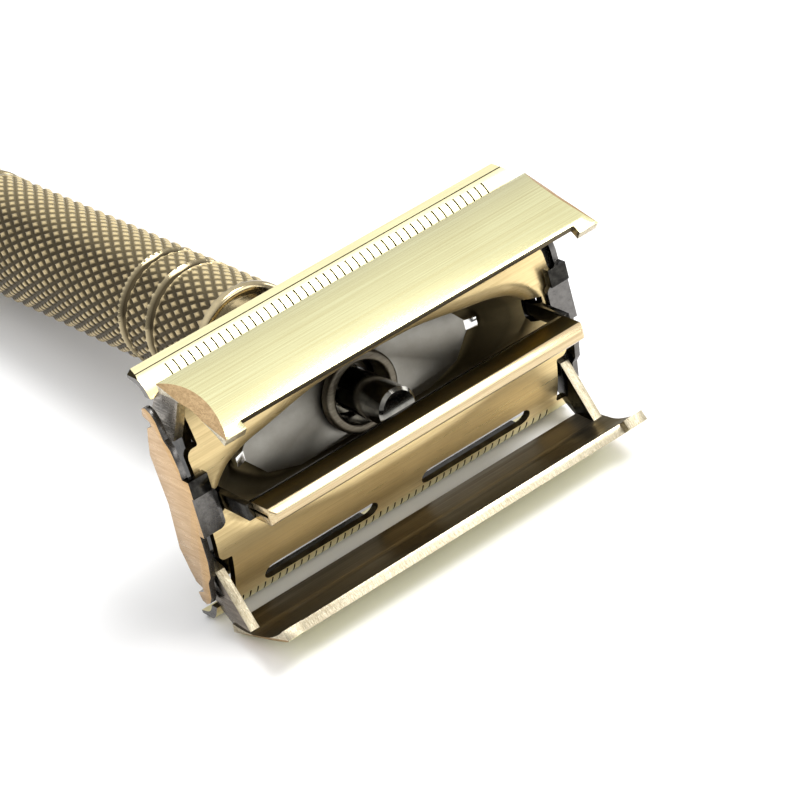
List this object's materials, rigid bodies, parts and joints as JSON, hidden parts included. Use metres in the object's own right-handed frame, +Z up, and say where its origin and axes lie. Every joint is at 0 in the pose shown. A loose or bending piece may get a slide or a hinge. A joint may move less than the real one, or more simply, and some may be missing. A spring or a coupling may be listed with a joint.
{
  "type": "safety razor",
  "caption": "Butterfly safety razor with a knurled round handle, a guard tray and twin curved doors that a twist knob opens and closes.",
  "frame": {"origin": "centre of the whole razor's footprint on the surface it lies on, doors open", "axes": "+X along the head from left to right, +Y from the head towards the knob, +Z up from the table"},
  "size_m": [0.0434, 0.0934, 0.0268],
  "materials": {
    "brass_plate": "brushed",
    "copper_plate": "brushed",
    "dark_steel": "satin",
    "black_oxide": "black oxide",
    "plain_steel": "turned",
    "bush_brass": "turned"
  },
  "bodies": {
    "handle": {"guard_tray": "brass_plate", "end_plate_left": "copper_plate", "end_plate_right": "copper_plate", "clamp_plate": "dark_steel", "neck_tube": "brass_plate", "handle_tube": "brass_plate", "guide_bush": "bush_brass", "end_bush": "bush_brass", "thrust_washer": "plain_steel", "wave_spring": "plain_steel"},
    "knob": {"knob": "brass_plate", "knob_cap": "brass_plate", "knob_pin": "plain_steel", "drive_sleeve": "bush_brass"},
    "lifter": {"lift_yoke": "black_oxide", "yoke_end_left": "black_oxide", "yoke_end_right": "black_oxide", "centre_rib": "brass_plate", "lift_rod": "plain_steel", "rod_nut": "plain_steel", "pivot_pins": "plain_steel"},
    "upper_door": {"door_upper": "brass_plate"},
    "lower_door": {"door_lower": "brass_plate"}
  },
  "joints": [
    {"name": "knob_turn", "type": "hinge", "parent": "handle", "child": "knob", "pos_m": [0, 0.03909, 0.00654], "axis": [0, 0.9958, -0.0912], "range_deg": [0, 360]},
    {"name": "lift_slide", "type": "slide", "parent": "handle", "child": "lifter", "axis": [0, 0.9958, -0.0912], "range_m": [0, 0.0025]},
    {"name": "door_upper_hinge", "type": "hinge", "parent": "lifter", "child": "upper_door", "pos_m": [0, -0.03266, 0.02075], "axis": [1, 0, 0], "range_deg": [0, 48.7]},
    {"name": "door_lower_hinge", "type": "hinge", "parent": "lifter", "child": "lower_door", "pos_m": [0, -0.03405, 0.00561], "axis": [-1, 0, 0], "range_deg": [0, 48.7]}
  ],
  "couplings": [
    {"joint": "lift_slide", "follows": "knob_turn", "m_per_rad": 0.00039789},
    {"joint": "door_upper_hinge", "follows": "knob_turn", "ratio": 0.13528},
    {"joint": "door_lower_hinge", "follows": "knob_turn", "ratio": 0.13528}
  ]
}
